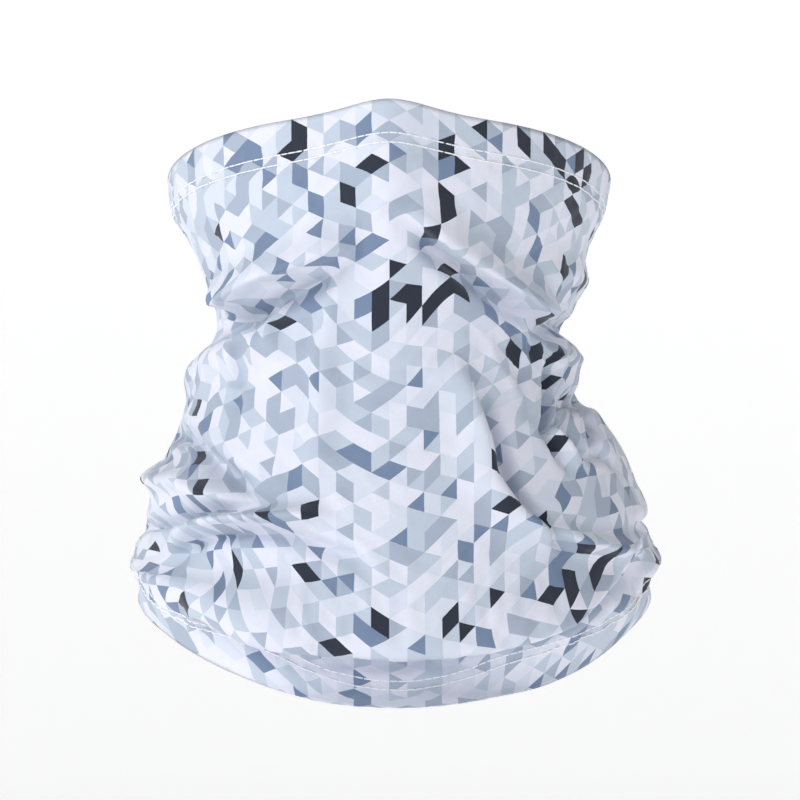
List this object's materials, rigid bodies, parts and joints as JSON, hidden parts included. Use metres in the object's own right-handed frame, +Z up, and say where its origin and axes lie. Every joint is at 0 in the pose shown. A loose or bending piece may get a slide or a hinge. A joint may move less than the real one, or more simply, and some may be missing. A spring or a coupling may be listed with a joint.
{
  "type": "neck gaiter",
  "caption": "Tube-shaped printed knit neck gaiter, worn from the nose and cheeks over the neck to the shoulders, with turned and cover-stitched hems.",
  "frame": {"origin": "centre of the tube at its narrowest, where the wearer's neck passes through", "axes": "+Z up along the neck towards the face, -Y to the front where the upper rim peaks over the nose, +X to the wearer's left"},
  "size_m": [0.1976, 0.199, 0.2074],
  "materials": {
    "printed_knit": "matte",
    "stitch_thread": "matte",
    "label_ribbon": "satin"
  },
  "bodies": {
    "gaiter": {"fabric_panel": "printed_knit", "top_hem_turnup": "printed_knit", "bottom_hem_turnup": "printed_knit", "back_seam_allowance": "printed_knit", "top_needle_thread_upper": "stitch_thread", "top_needle_thread_lower": "stitch_thread", "top_looper_thread": "stitch_thread", "bottom_needle_thread_upper": "stitch_thread", "bottom_needle_thread_lower": "stitch_thread", "bottom_looper_thread": "stitch_thread", "seam_needle_thread": "stitch_thread", "seam_overlock_thread": "stitch_thread"},
    "label": {"care_label": "label_ribbon"}
  },
  "joints": [
    {"name": "label_flap", "type": "hinge", "parent": "gaiter", "child": "label", "pos_m": [0.0044, 0.0674, -0.012], "axis": [0, 0, -1], "range_deg": [-3, 125]}
  ]
}
